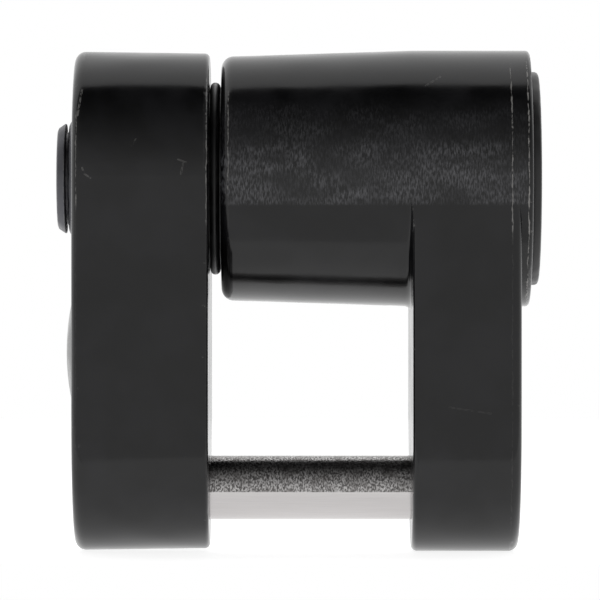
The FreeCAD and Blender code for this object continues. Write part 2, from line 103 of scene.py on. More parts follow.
def add_node(tree, kind, inputs=None, **settings):
    """Adds one node with its settings; each input takes a value, or a link from a socket."""
    made = tree.nodes.new(kind)
    for name, value in settings.items():
        setattr(made, name, value)
    for socket, value in (inputs or {}).items():
        if isinstance(value, bpy.types.NodeSocket):
            tree.links.new(value, made.inputs[socket])
        else:
            made.inputs[socket].default_value = value
    return made


def new_finish(name, metallic, roughness):
    """An empty finish: its node tree, its shader and the object's own coordinates."""
    finish = bpy.data.materials.new(name)
    finish.use_nodes = True
    tree = finish.node_tree
    shader = tree.nodes["Principled BSDF"]
    shader.inputs["Metallic"].default_value = metallic
    shader.inputs["Roughness"].default_value = roughness
    place = add_node(tree, "ShaderNodeTexCoord").outputs["Object"]
    return finish, tree, shader, place


def grain(tree, place, size_mm, detail=2.0, stretch=(1, 1, 1)):
    """Noise whose blotches are size_mm wide, longer along an axis where stretch is above 1."""
    scale = tuple(1 / (size_mm * MM * s) for s in stretch)
    moved = add_node(tree, "ShaderNodeMapping", {"Scale": scale, "Vector": place})
    noise = add_node(
        tree,
        "ShaderNodeTexNoise",
        {"Scale": 1.0, "Detail": detail, "Vector": moved.outputs[0]},
    )
    return noise.outputs["Fac"]


def edge_wear(tree, width_mm):
    """How near a point is to a corner of its piece: 0 on a flat face, 1 on a sharp corner."""
    rounded = add_node(tree, "ShaderNodeBevel", {"Radius": width_mm * MM}, samples=6)
    flat = add_node(tree, "ShaderNodeNewGeometry")
    facing = add_node(
        tree,
        "ShaderNodeVectorMath",
        {0: rounded.outputs[0], 1: flat.outputs["Normal"]},
        operation="DOT_PRODUCT",
    )
    return add_node(
        tree,
        "ShaderNodeMapRange",
        {"Value": facing.outputs["Value"], "From Min": 0.999, "From Max": 0.93},
        interpolation_type="LINEAR",
    ).outputs["Result"]


# ---------------------------------------------------------------- scratches and rubbed lines


def scratch(tree, place, start_mm, end_mm, width_mm=0.05):
    """A hairline on the front, from one (x, z) to another: 1 on the line and 0 off it."""
    start = Vector((start_mm[0] * MM, 0, start_mm[1] * MM))
    along = Vector((end_mm[0] * MM, 0, end_mm[1] * MM)) - start
    flat = add_node(
        tree,
        "ShaderNodeVectorMath",
        {0: place, 1: (1, 0, 1)},
        operation="MULTIPLY",
    ).outputs[0]
    offset = add_node(
        tree,
        "ShaderNodeVectorMath",
        {0: flat, 1: tuple(start)},
        operation="SUBTRACT",
    ).outputs[0]
    share = add_node(
        tree,
        "ShaderNodeVectorMath",
        {0: offset, 1: tuple(along / along.length_squared)},
        operation="DOT_PRODUCT",
    ).outputs["Value"]
    held = add_node(
        tree,
        "ShaderNodeMapRange",
        {"Value": share, "From Min": 0.0, "From Max": 1.0},
        interpolation_type="LINEAR",
    ).outputs["Result"]
    nearest = add_node(
        tree,
        "ShaderNodeVectorMath",
        {0: tuple(along), "Scale": held},
        operation="SCALE",
    ).outputs[0]
    gap = add_node(
        tree,
        "ShaderNodeVectorMath",
        {0: offset, 1: nearest},
        operation="DISTANCE",
    ).outputs["Value"]
    wander = add_node(
        tree,
        "ShaderNodeMath",
        {0: grain(tree, place, 0.7), 1: 0.1 * MM},
        operation="MULTIPLY",
    ).outputs[0]
    edge = add_node(
        tree,
        "ShaderNodeMath",
        {
            0: add_node(
                tree,
                "ShaderNodeMath",
                {0: gap, 1: wander},
                operation="SUBTRACT",
            ).outputs[0],
        },
        operation="ABSOLUTE",
    ).outputs[0]
    line = add_node(
        tree,
        "ShaderNodeMapRange",
        {"Value": edge, "From Min": width_mm * MM, "From Max": 0.2 * width_mm * MM},
        interpolation_type="SMOOTHSTEP",
    ).outputs["Result"]
    front = add_node(tree, "ShaderNodeSeparateXYZ", {"Vector": place}).outputs["Y"]
    facing = add_node(
        tree,
        "ShaderNodeMapRange",
        {"Value": front, "From Min": -2 * MM, "From Max": -3 * MM},
        interpolation_type="SMOOTHSTEP",
    ).outputs["Result"]
    broken = add_node(
        tree,
        "ShaderNodeMapRange",
        {"Value": grain(tree, place, 0.3, 3.0), "From Min": 0.35, "From Max": 0.55},
        interpolation_type="SMOOTHSTEP",
    ).outputs["Result"]
    return add_node(
        tree,
        "ShaderNodeMath",
        {
            0: add_node(
                tree,
                "ShaderNodeMath",
                {0: line, 1: facing},
                operation="MULTIPLY",
            ).outputs[0],
            1: broken,
        },
        operation="MULTIPLY",
    ).outputs[0]


def rubbed_line(tree, split, place, at_mm, low_mm, high_mm, width_mm=0.07):
    """A wandering line round the front where x is at_mm, from one height to another."""
    wander = add_node(
        tree,
        "ShaderNodeMath",
        {
            0: add_node(
                tree,
                "ShaderNodeMath",
                {0: grain(tree, place, 1.3, 3.0), 1: 0.5},
                operation="SUBTRACT",
            ).outputs[0],
            1: 0.3 * MM,
        },
        operation="MULTIPLY",
    ).outputs[0]
    across = add_node(
        tree,
        "ShaderNodeMath",
        {0: split.outputs["X"], 1: at_mm * MM},
        operation="SUBTRACT",
    ).outputs[0]
    offset = add_node(
        tree,
        "ShaderNodeMath",
        {0: add_node(tree, "ShaderNodeMath", {0: across, 1: wander}, operation="ADD").outputs[0]},
        operation="ABSOLUTE",
    ).outputs[0]
    thick = add_node(
        tree,
        "ShaderNodeMapRange",
        {
            "Value": grain(tree, place, 0.8, 4.0),
            "From Min": 0.35,
            "From Max": 0.7,
            "To Min": 0.5,
            "To Max": 1.7,
        },
        interpolation_type="SMOOTHSTEP",
    ).outputs["Result"]
    narrowed = add_node(tree, "ShaderNodeMath", {0: offset, 1: thick}, operation="DIVIDE")
    line = add_node(
        tree,
        "ShaderNodeMapRange",
        {"Value": narrowed.outputs[0], "From Min": width_mm * MM, "From Max": 0.3 * width_mm * MM},
        interpolation_type="SMOOTHSTEP",
    ).outputs["Result"]
    z = split.outputs["Z"]
    above = add_node(
        tree,
        "ShaderNodeMapRange",
        {
            "Value": z,
            "From Min": (low_mm - 1.5) * MM,
            "From Max": low_mm * MM,
            "To Min": 0.08,
            "To Max": 1.0,
        },
        interpolation_type="SMOOTHSTEP",
    ).outputs["Result"]
    below = add_node(
        tree,
        "ShaderNodeMapRange",
        {"Value": z, "From Min": (high_mm + 0.8) * MM, "From Max": high_mm * MM},
        interpolation_type="SMOOTHSTEP",
    ).outputs["Result"]
    front = add_node(
        tree,
        "ShaderNodeMapRange",
        {"Value": split.outputs["Y"], "From Min": 0.0, "From Max": -0.5 * MM},
        interpolation_type="SMOOTHSTEP",
    ).outputs["Result"]
    held = add_node(
        tree,
        "ShaderNodeMath",
        {
            0: add_node(
                tree,
                "ShaderNodeMath",
                {0: above, 1: below},
                operation="MULTIPLY",
            ).outputs[0],
            1: front,
        },
        operation="MULTIPLY",
    ).outputs[0]
    broken = add_node(
        tree,
        "ShaderNodeMapRange",
        {"Value": grain(tree, place, 0.45, 4.0), "From Min": 0.34, "From Max": 0.56},
        interpolation_type="SMOOTHSTEP",
    ).outputs["Result"]
    return add_node(
        tree,
        "ShaderNodeMath",
        {
            0: add_node(
                tree,
                "ShaderNodeMath",
                {0: line, 1: broken},
                operation="MULTIPLY",
            ).outputs[0],
            1: held,
        },
        operation="MULTIPLY",
    ).outputs[0]


# ---------------------------------------------------------------- the finishes


def black_coated_zinc(name, ripple_mm, marks, linish_and_painted_highlight=None, crests=()):
    """Zinc alloy, pressure die cast, tumbled and dipped in black electrocoat.

    The coat is thin and glossy, so the casting's slow ripple shows in its reflections, its
    edges are rubbed to a lighter line, and tumbling has left fine pits and a few light chips.
    marks are hairlines on the front. The fourth argument is the (lowest, brightest, highest) z of
    the strip round the barrel that is painted lighter: linishing hairs, under a painted highlight
    that is full from the lowest to the brightest z and fades above. crests are the rubbed lines
    along the corners, each (x, lowest z, highest z, how bare it is).
    """
    finish, tree, shader, place = new_finish(name, 0.0, 0.17)
    skin = grain(tree, place, 0.4, 3.0)
    patches = grain(tree, place, 5.0, 3.0)
    split = add_node(tree, "ShaderNodeSeparateXYZ", {"Vector": place})

    line = add_node(
        tree,
        "ShaderNodeMath",
        {
            0: edge_wear(tree, 0.16),
            1: add_node(
                tree,
                "ShaderNodeMapRange",
                {"Value": grain(tree, place, 0.6, 4.0), "From Min": 0.5, "From Max": 0.66},
                interpolation_type="SMOOTHSTEP",
            ).outputs["Result"],
        },
        operation="MULTIPLY",
    ).outputs[0]
    spots = add_node(
        tree,
        "ShaderNodeMapRange",
        {"Value": grain(tree, place, 0.8, 5.0), "From Min": 0.69, "From Max": 0.74},
        interpolation_type="SMOOTHSTEP",
    ).outputs["Result"]
    chips = add_node(
        tree,
        "ShaderNodeMath",
        {0: edge_wear(tree, 0.8), 1: spots},
        operation="MULTIPLY",
    ).outputs[0]
    worn = add_node(
        tree,
        "ShaderNodeMath",
        {
            0: add_node(tree, "ShaderNodeMath", {0: line, 1: 0.4}, operation="MULTIPLY").outputs[0],
            1: chips,
        },
        operation="MAXIMUM",
    ).outputs[0]
    for start, end, depth in marks:
        worn = add_node(
            tree,
            "ShaderNodeMath",
            {
                0: worn,
                1: add_node(
                    tree,
                    "ShaderNodeMath",
                    {0: scratch(tree, place, start, end), 1: depth},
                    operation="MULTIPLY",
                ).outputs[0],
            },
            operation="MAXIMUM",
        ).outputs[0]
    for x, low, high, depth in crests:
        crest = rubbed_line(tree, split, place, x, low, high)
        worn = add_node(
            tree,
            "ShaderNodeMath",
            {
                0: worn,
                1: add_node(
                    tree,
                    "ShaderNodeMath",
                    {0: crest, 1: depth},
                    operation="MULTIPLY",
                ).outputs[0],
            },
            operation="MAXIMUM",
        ).outputs[0]

    colour = add_node(
        tree,
        "ShaderNodeMix",
        {
            0: add_node(
                tree,
                "ShaderNodeMapRange",
                {"Value": patches, "From Min": 0.35, "From Max": 0.7},
                interpolation_type="SMOOTHSTEP",
            ).outputs["Result"],
            6: linear("#09090a"),
            7: linear("#151517"),
        },
        data_type="RGBA",
    ).outputs[2]
    gloss = add_node(
        tree,
        "ShaderNodeMapRange",
        {"Value": patches, "From Min": 0.3, "From Max": 0.7, "To Min": 0.13, "To Max": 0.2},
        interpolation_type="SMOOTHSTEP",
    ).outputs["Result"]
    height = add_node(
        tree,
        "ShaderNodeBump",
        {"Height": grain(tree, place, 8.0, 1.0), "Distance": ripple_mm * MM, "Strength": 1.0},
    ).outputs["Normal"]
    height = add_node(
        tree,
        "ShaderNodeBump",
        {"Height": skin, "Distance": 0.003 * MM, "Strength": 1.0, "Normal": height},
    ).outputs["Normal"]
    # painted highlight: a strip round the barrel, lighter by height, with a sharp lower edge, full
    # up to the brightest z, then falling and fading out above; linishing hairs show inside it
    if linish_and_painted_highlight is not None:
        low, bright, high = linish_and_painted_highlight
        z = split.outputs["Z"]
        rise = add_node(
            tree,
            "ShaderNodeMapRange",
            {"Value": z, "From Min": (low - 0.15) * MM, "From Max": (low + 0.25) * MM},
            interpolation_type="SMOOTHSTEP",
        ).outputs["Result"]
        fall = add_node(
            tree,
            "ShaderNodeMapRange",
            {
                "Value": z,
                "From Min": bright * MM,
                "From Max": (bright + 1.6) * MM,
                "To Min": 1.0,
                "To Max": 0.36,
            },
            interpolation_type="SMOOTHSTEP",
        ).outputs["Result"]
        fade = add_node(
            tree,
            "ShaderNodeMapRange",
            {"Value": z, "From Min": high * MM, "From Max": (high - 5) * MM},
            interpolation_type="SMOOTHSTEP",
        ).outputs["Result"]
        round_barrel = add_node(
            tree,
            "ShaderNodeMapRange",
            {"Value": split.outputs["X"], "From Min": 21.2 * MM, "From Max": 20.9 * MM},
            interpolation_type="SMOOTHSTEP",
        ).outputs["Result"]
        strip = add_node(
            tree,
            "ShaderNodeMath",
            {
                0: add_node(
                    tree,
                    "ShaderNodeMath",
                    {0: rise, 1: fall},
                    operation="MULTIPLY",
                ).outputs[0],
                1: fade,
            },
            operation="MULTIPLY",
        ).outputs[0]
        strip = add_node(
            tree,
            "ShaderNodeMath",
            {0: strip, 1: round_barrel},
            operation="MULTIPLY",
        ).outputs[0]
        cloud = add_node(
            tree,
            "ShaderNodeMapRange",
            {
                "Value": grain(tree, place, 2.0, 3.0, stretch=(2.2, 1, 1)),
                "From Min": 0.32,
                "From Max": 0.66,
                "To Min": 0.2,
                "To Max": 1.0,
            },
            interpolation_type="SMOOTHSTEP",
        ).outputs["Result"]
        strip = add_node(
            tree,
            "ShaderNodeMath",
            {0: strip, 1: cloud},
            operation="MULTIPLY",
        ).outputs[0]
        # a linishing belt's scratches are a few hundredths of a mm wide; drawn coarser, to show
        hairs = grain(tree, place, 0.14, 3.0, stretch=(1, 3.6, 3.6))
        linish_hairs_and_painted_highlight = add_node(
            tree,
            "ShaderNodeMath",
            {
                0: strip,
                1: add_node(
                    tree,
                    "ShaderNodeMapRange",
                    {"Value": hairs, "From Min": 0.36, "From Max": 0.72},
                    interpolation_type="SMOOTHSTEP",
                ).outputs["Result"],
            },
            operation="MULTIPLY",
        ).outputs[0]
        # the painted highlight and the linishing hairs lighten the casting's colour towards a mid
        # grey
        colour = add_node(
            tree,
            "ShaderNodeMix",
            {0: linish_hairs_and_painted_highlight, 6: colour, 7: linear("#58585b")},
            data_type="RGBA",
        ).outputs[2]
        height = add_node(
            tree,
            "ShaderNodeBump",
            {"Height": linish_hairs_and_painted_highlight, "Distance": 0.012 * MM, "Strength": 1.0, "Normal": height},
        ).outputs["Normal"]
        gloss = add_node(
            tree,
            "ShaderNodeMath",
            {
                0: gloss,
                1: add_node(
                    tree,
                    "ShaderNodeMath",
                    {0: linish_hairs_and_painted_highlight, 1: 0.12},
                    operation="MULTIPLY",
                ).outputs[0],
            },
            operation="ADD",
        ).outputs[0]
    colour = add_node(
        tree,
        "ShaderNodeMix",
        {0: worn, 6: colour, 7: linear("#a3a19e")},
        data_type="RGBA",
    ).outputs[2]
    gloss = add_node(
        tree,
        "ShaderNodeMath",
        {
            0: gloss,
            1: add_node(
                tree,
                "ShaderNodeMath",
                {0: worn, 1: 0.25},
                operation="MULTIPLY",
            ).outputs[0],
        },
        operation="ADD",
    ).outputs[0]
    tree.links.new(colour, shader.inputs["Base Color"])
    tree.links.new(gloss, shader.inputs["Roughness"])
    tree.links.new(height, shader.inputs["Normal"])
    shader.inputs["IOR"].default_value = 1.45
    return finish


def bare_steel():
    """Cold drawn carbon steel bar, cut to length and left bare.

    It is a warm grey mirror. Above its middle it has been handled and is finely pitted and
    mottled. Below, where the latch has rubbed it, it is still as bright as it was drawn.
    """
    finish, tree, shader, place = new_finish("bare_steel", 1.0, 0.12)
    # drawing lines are a few hundredths of a mm wide; drawn coarser, to show
    drawn = grain(tree, place, 0.1, 2.0, stretch=(40, 1, 1))
    pits = grain(tree, place, 0.15, 2.0, stretch=(1, 1.6, 1.6))
    cloud = grain(tree, place, 1.6, 4.0)
    height = add_node(tree, "ShaderNodeSeparateXYZ", {"Vector": place}).outputs["Z"]
    handled = add_node(
        tree,
        "ShaderNodeMapRange",
        {"Value": height, "From Min": -0.4 * MM, "From Max": -0.32 * MM},
        interpolation_type="SMOOTHSTEP",
    ).outputs["Result"]
    mottle = add_node(
        tree,
        "ShaderNodeMapRange",
        {"Value": pits, "From Min": 0.36, "From Max": 0.64},
        interpolation_type="SMOOTHSTEP",
    ).outputs["Result"]
    dull = add_node(
        tree,
        "ShaderNodeMix",
        {0: mottle, 6: linear("#5a5857"), 7: linear("#c6c4c3")},
        data_type="RGBA",
    ).outputs[2]
    dull = add_node(
        tree,
        "ShaderNodeMix",
        {
            0: add_node(
                tree,
                "ShaderNodeMapRange",
                {"Value": cloud, "From Min": 0.45, "From Max": 0.65, "To Min": 0.0, "To Max": 0.5},
                interpolation_type="SMOOTHSTEP",
            ).outputs["Result"],
            6: dull,
            7: linear("#6f6c6a"),
        },
        data_type="RGBA",
    ).outputs[2]
    bright = add_node(
        tree,
        "ShaderNodeMix",
        {0: drawn, 6: linear("#c3c0bf"), 7: linear("#cfcccc")},
        data_type="RGBA",
    ).outputs[2]
    tree.links.new(
        add_node(
            tree,
            "ShaderNodeMix",
            {0: handled, 6: bright, 7: dull},
            data_type="RGBA",
        ).outputs[2],
        shader.inputs["Base Color"],
    )
    tree.links.new(
        add_node(
            tree,
            "ShaderNodeMapRange",
            {"Value": handled, "From Min": 0.0, "From Max": 1.0, "To Min": 0.1, "To Max": 0.22},
            interpolation_type="SMOOTHSTEP",
        ).outputs["Result"],
        shader.inputs["Roughness"],
    )
    line = add_node(
        tree,
        "ShaderNodeBump",
        {"Height": drawn, "Distance": 0.0006 * MM, "Strength": 1.0},
    ).outputs["Normal"]
    pitted = add_node(
        tree,
        "ShaderNodeMath",
        {0: pits, 1: handled},
        operation="MULTIPLY",
    ).outputs[0]
    tree.links.new(
        add_node(
            tree,
            "ShaderNodeBump",
            {"Height": pitted, "Distance": 0.012 * MM, "Strength": 1.0, "Normal": line},
        ).outputs["Normal"],
        shader.inputs["Normal"],
    )
    return finish


def black_steel():
    """Turned steel with a hot black oxide: fine turning rings and a satin blue-black skin."""
    finish, tree, shader, place = new_finish("black_steel", 1.0, 0.4)
    rings = grain(tree, place, 0.12, 2.0, stretch=(1, 8, 8))
    cloud = grain(tree, place, 1.6, 4.0)
    colour = add_node(
        tree,
        "ShaderNodeMix",
        {0: cloud, 6: linear("#4a4a4e"), 7: linear("#66666a")},
        data_type="RGBA",
    ).outputs[2]
    rubbed = add_node(
        tree,
        "ShaderNodeMath",
        {
            0: edge_wear(tree, 0.2),
            1: add_node(
                tree,
                "ShaderNodeMapRange",
                {"Value": grain(tree, place, 0.5), "From Min": 0.4, "From Max": 0.6},
                interpolation_type="SMOOTHSTEP",
            ).outputs["Result"],
        },
        operation="MULTIPLY",
    ).outputs[0]
    colour = add_node(
        tree,
        "ShaderNodeMix",
        {
            0: add_node(
                tree,
                "ShaderNodeMath",
                {0: rubbed, 1: 0.6},
                operation="MULTIPLY",
            ).outputs[0],
            6: colour,
            7: linear("#9a9894"),
        },
        data_type="RGBA",
    ).outputs[2]
    tree.links.new(colour, shader.inputs["Base Color"])
    tree.links.new(
        add_node(
            tree,
            "ShaderNodeMapRange",
            {"Value": cloud, "From Min": 0.3, "From Max": 0.7, "To Min": 0.3, "To Max": 0.5},
            interpolation_type="SMOOTHSTEP",
        ).outputs["Result"],
        shader.inputs["Roughness"],
    )
    tree.links.new(
        add_node(
            tree,
            "ShaderNodeBump",
            {"Height": rings, "Distance": 0.006 * MM, "Strength": 1.0},
        ).outputs["Normal"],
        shader.inputs["Normal"],
    )
    return finish


def spring_steel():
    """Hard drawn spring wire: a darker grey with die lines, lightly oiled."""
    finish, tree, shader, place = new_finish("spring_steel", 1.0, 0.28)
    cloud = grain(tree, place, 0.5, 3.0)
    colour = add_node(
        tree,
        "ShaderNodeMix",
        {0: cloud, 6: linear("#84847f"), 7: linear("#a5a5a3")},
        data_type="RGBA",
    ).outputs[2]
    tree.links.new(colour, shader.inputs["Base Color"])
    tree.links.new(
        add_node(
            tree,
            "ShaderNodeMapRange",
            {"Value": cloud, "From Min": 0.3, "From Max": 0.7, "To Min": 0.22, "To Max": 0.38},
            interpolation_type="SMOOTHSTEP",
        ).outputs["Result"],
        shader.inputs["Roughness"],
    )
    tree.links.new(
        add_node(
            tree,
            "ShaderNodeBump",
            {"Height": grain(tree, place, 0.08, 2.0), "Distance": 0.002 * MM, "Strength": 1.0},
        ).outputs["Normal"],
        shader.inputs["Normal"],
    )
    return finish


def black_rubber():
    """Nitrile rubber, compression moulded: satin, with a fine bloom of lighter dust."""
    finish, tree, shader, place = new_finish("black_rubber", 0.0, 0.4)
    bloom = grain(tree, place, 1.5, 5.0)
    skin = grain(tree, place, 0.15, 2.0)
    colour = add_node(
        tree,
        "ShaderNodeMix",
        {
            0: add_node(
                tree,
                "ShaderNodeMapRange",
                {"Value": bloom, "From Min": 0.35, "From Max": 0.75},
                interpolation_type="SMOOTHSTEP",
            ).outputs["Result"],
            6: linear("#101011"),
            7: linear("#232324"),
        },
        data_type="RGBA",
    ).outputs[2]
    tree.links.new(colour, shader.inputs["Base Color"])
    tree.links.new(
        add_node(
            tree,
            "ShaderNodeMapRange",
            {"Value": bloom, "From Min": 0.3, "From Max": 0.7, "To Min": 0.3, "To Max": 0.48},
            interpolation_type="SMOOTHSTEP",
        ).outputs["Result"],
        shader.inputs["Roughness"],
    )
    tree.links.new(
        add_node(
            tree,
            "ShaderNodeBump",
            {"Height": skin, "Distance": 0.01 * MM, "Strength": 1.0},
        ).outputs["Normal"],
        shader.inputs["Normal"],
    )
    shader.inputs["IOR"].default_value = 1.52
    return finish


def black_medallion():
    """A pressed aluminium disc, stove enamelled black: smooth, with orange peel in its gloss."""
    finish, tree, shader, place = new_finish("black_medallion", 0.0, 0.2)
    peel = grain(tree, place, 0.9, 1.0)
    cloud = grain(tree, place, 3.0, 3.0)
    tree.links.new(
        add_node(
            tree,
            "ShaderNodeMix",
            {0: cloud, 6: linear("#0c0c0e"), 7: linear("#131316")},
            data_type="RGBA",
        ).outputs[2],
        shader.inputs["Base Color"],
    )
    tree.links.new(
        add_node(
            tree,
            "ShaderNodeMapRange",
            {"Value": cloud, "From Min": 0.3, "From Max": 0.7, "To Min": 0.16, "To Max": 0.26},
            interpolation_type="SMOOTHSTEP",
        ).outputs["Result"],
        shader.inputs["Roughness"],
    )
    tree.links.new(
        add_node(
            tree,
            "ShaderNodeBump",
            {"Height": peel, "Distance": 0.008 * MM, "Strength": 1.0},
        ).outputs["Normal"],
        shader.inputs["Normal"],
    )
    shader.inputs["IOR"].default_value = 1.5
    return finish


def plated_zinc():
    """Zinc die casting, barrel plated in bright nickel: pale, with tumbled scuffs."""
    finish, tree, shader, place = new_finish("plated_zinc", 1.0, 0.28)
    scuff = grain(tree, place, 0.5, 5.0)
    colour = add_node(
        tree,
        "ShaderNodeMix",
        {0: scuff, 6: linear("#a9a69f"), 7: linear("#cdcac3")},
        data_type="RGBA",
    ).outputs[2]
    tree.links.new(colour, shader.inputs["Base Color"])
    tree.links.new(
        add_node(
            tree,
            "ShaderNodeMapRange",
            {"Value": scuff, "From Min": 0.3, "From Max": 0.7, "To Min": 0.2, "To Max": 0.42},
            interpolation_type="SMOOTHSTEP",
        ).outputs["Result"],
        shader.inputs["Roughness"],
    )
    tree.links.new(
        add_node(
            tree,
            "ShaderNodeBump",
            {"Height": grain(tree, place, 0.25, 3.0), "Distance": 0.006 * MM, "Strength": 1.0},
        ).outputs["Normal"],
        shader.inputs["Normal"],
    )
    return finish


def nickel_brass():
    """Free cutting brass, turned and nickel plated: turning lines under a warm grey plate."""
    finish, tree, shader, place = new_finish("nickel_brass", 1.0, 0.28)
    # turning lines are a few hundredths of a mm apart; drawn coarser, to show
    lines = grain(tree, place, 0.1, 2.0, stretch=(1, 10, 10))
    cloud = grain(tree, place, 1.2, 4.0)
    colour = add_node(
        tree,
        "ShaderNodeMix",
        {0: cloud, 6: linear("#b3ab98"), 7: linear("#cfc8b6")},
        data_type="RGBA",
    ).outputs[2]
    brass = add_node(
        tree,
        "ShaderNodeMath",
        {
            0: edge_wear(tree, 0.15),
            1: add_node(
                tree,
                "ShaderNodeMapRange",
                {"Value": grain(tree, place, 0.4), "From Min": 0.4, "From Max": 0.6},
                interpolation_type="SMOOTHSTEP",
            ).outputs["Result"],
        },
        operation="MULTIPLY",
    ).outputs[0]
    colour = add_node(
        tree,
        "ShaderNodeMix",
        {
            0: add_node(
                tree,
                "ShaderNodeMath",
                {0: brass, 1: 0.7},
                operation="MULTIPLY",
            ).outputs[0],
            6: colour,
            7: linear("#b98f4a"),
        },
        data_type="RGBA",
    ).outputs[2]
    tree.links.new(colour, shader.inputs["Base Color"])
    tree.links.new(
        add_node(
            tree,
            "ShaderNodeBump",
            {"Height": lines, "Distance": 0.004 * MM, "Strength": 1.0},
        ).outputs["Normal"],
        shader.inputs["Normal"],
    )
    return finish


def pin_brass():
    """Brass rod, turned and left bare: yellow, with tarnish in patches."""
    finish, tree, shader, place = new_finish("pin_brass", 1.0, 0.3)
    tarnish = grain(tree, place, 0.7, 4.0)
    lines = grain(tree, place, 0.08, 2.0, stretch=(8, 8, 1))
    colour = add_node(
        tree,
        "ShaderNodeMix",
        {
            0: add_node(
                tree,
                "ShaderNodeMapRange",
                {"Value": tarnish, "From Min": 0.4, "From Max": 0.7},
                interpolation_type="SMOOTHSTEP",
            ).outputs["Result"],
            6: linear("#c9a253"),
            7: linear("#97743a"),
        },
        data_type="RGBA",
    ).outputs[2]
    tree.links.new(colour, shader.inputs["Base Color"])
    tree.links.new(
        add_node(
            tree,
            "ShaderNodeMapRange",
            {"Value": tarnish, "From Min": 0.3, "From Max": 0.7, "To Min": 0.24, "To Max": 0.42},
            interpolation_type="SMOOTHSTEP",
        ).outputs["Result"],
        shader.inputs["Roughness"],
    )
    tree.links.new(
        add_node(
            tree,
            "ShaderNodeBump",
            {"Height": lines, "Distance": 0.003 * MM, "Strength": 1.0},
        ).outputs["Normal"],
        shader.inputs["Normal"],
    )
    return finish


def give_finish(piece, finish):
    """The piece wears this one finish."""
    piece.data.materials.clear()
    piece.data.materials.append(finish)


# ---------------------------------------------------------------- the turned and moulded pieces


def turn_on_lathe(name, profile, axis_z, round_mm, ring=False, sides=128):
    """A piece turned about the lock's length: (x, radius) stations in mm, worked end to end.

    A ring closes on its own first station. Each corner is broken by round_mm.
    """
    x, radius = profile[0]
    bpy.ops.object.select_all(action="DESELECT")
    bpy.ops.mesh.primitive_circle_add(
        vertices=sides,
        radius=radius * MM,
        fill_type="NOTHING" if ring else "NGON",
        location=(x * MM, 0, axis_z),
        rotation=(0, math.radians(90), 0),
    )
    piece = bpy.context.object
    piece.name = name
    bpy.ops.object.transform_apply(location=True, rotation=True, scale=True)
    bpy.ops.object.mode_set(mode="EDIT")
    for next_x, next_radius in profile[1:] + (profile[:1] if ring else []):
        step = ((next_x - x) * MM, 0, 0)
        bpy.ops.mesh.extrude_region_move(TRANSFORM_OT_translate={"value": step})
        grow = next_radius / radius
        bpy.ops.transform.resize(value=(1, grow, grow), center_override=(0, 0, axis_z))
        x, radius = next_x, next_radius
    bpy.ops.mesh.select_all(action="SELECT")
    bpy.ops.mesh.remove_doubles(threshold=0.0005 * MM)
    bpy.ops.mesh.normals_make_consistent(inside=False)
    bpy.ops.object.mode_set(mode="OBJECT")
    broken = piece.modifiers.new("broken_corners", "BEVEL")
    broken.width = round_mm * MM
    broken.segments = 3
    broken.limit_method = "ANGLE"
    broken.angle_limit = math.radians(25)
    bpy.ops.object.modifier_apply(modifier=broken.name)
    bpy.ops.object.shade_smooth_by_angle(angle=math.radians(35))
    return piece


def middle_z(node):
    """The height of a node's middle."""
    low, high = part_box(node)
    return (low.z + high.z) / 2


def fit_piece(piece, node, body, finish_name):
    """The piece stands for the node, moves with the body and wears the finish."""
    give_finish(piece, finishes[finish_name])
    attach(piece, body)
    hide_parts(node)


def locking_stud():
    """The stud: a tapered rim with a centre-drilled face, a clip groove and a locking groove."""
    low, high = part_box("locking_stud")
    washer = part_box("stud_washer")[0].x / MM
    clip = [end.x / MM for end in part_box("stud_clip")]
    face, tip = low.x / MM, high.x / MM
    profile = [
        (face + 0.35, 0.35),
        (face + 0.05, 0.75),
        (face, 0.85),
        (face, 3.1),
        (face + 0.06, 3.2),
        (face + 0.06, 3.4),
        (face, 3.5),
        (face, 4.75),
        (face + 0.10, 5.0),
        (face + 0.75, 5.45),
        (face + 0.88, 5.38),
        (face + 0.88, 4.6),
        (washer, 4.6),
        (washer, STUD_MM),
        (clip[0], STUD_MM),
        (clip[0], STUD_CLIP_GROOVE_MM),
        (clip[1], STUD_CLIP_GROOVE_MM),
        (clip[1], STUD_MM),
        (clip[1] + 0.35, STUD_MM),
        (clip[1] + 0.35, STUD_LOCK_GROOVE_MM),
        (tip - 2.0, STUD_LOCK_GROOVE_MM),
        (tip - 2.0, STUD_MM),
        (tip - 0.6, STUD_MM),
        (tip, STUD_MM - 0.6),
    ]
    piece = turn_on_lathe("turned_stud", profile, middle_z("locking_stud"), 0.04)
    fit_piece(piece, "locking_stud", "locking_head", "black_steel")


def stud_washer():
    """The coned washer: it flares from under the stud's rim to the face of the head."""
    low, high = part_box("stud_washer")
    front, back = low.x / MM, high.x / MM
    profile = [
        (front, 4.05),
        (front, 5.3),
        (front + 0.12, 5.55),
        (front + 0.4, 5.9),
        (back, 6.05),
        (back, 4.05),
    ]
    piece = turn_on_lathe("coned_washer", profile, middle_z("stud_washer"), 0.03, ring=True)
    fit_piece(piece, "stud_washer", "locking_head", "black_steel")


def blank_medallion():
    """The plain disc: a rolled bead at its edge, a fine groove and a low dome."""
    low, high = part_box("blank_medallion")
    crown, seat = low.x / MM, high.x / MM
    edge = (high.z - low.z) / 2 / MM
    foot = edge - 0.8
    rise = 0.76
    ball = (foot**2 + rise**2) / (2 * rise)
    dome = []
    for share in (1.0, 0.9, 0.8, 0.68, 0.55, 0.42, 0.28, 0.14, 0.05):
        out = foot * share
        dome.append((crown + ball - math.sqrt(ball**2 - out**2), out))
    rim = seat - 0.5
    profile = [
        (seat, edge),
        (rim - 0.12, edge),
        (rim - 0.22, edge - 0.12),
        (rim - 0.22, edge - 0.45),
        (rim - 0.10, edge - 0.60),
    ]
    piece = turn_on_lathe("domed_medallion", profile + dome, middle_z("blank_medallion"), 0.03)
    fit_piece(piece, "blank_medallion", "locking_head", "black_medallion")


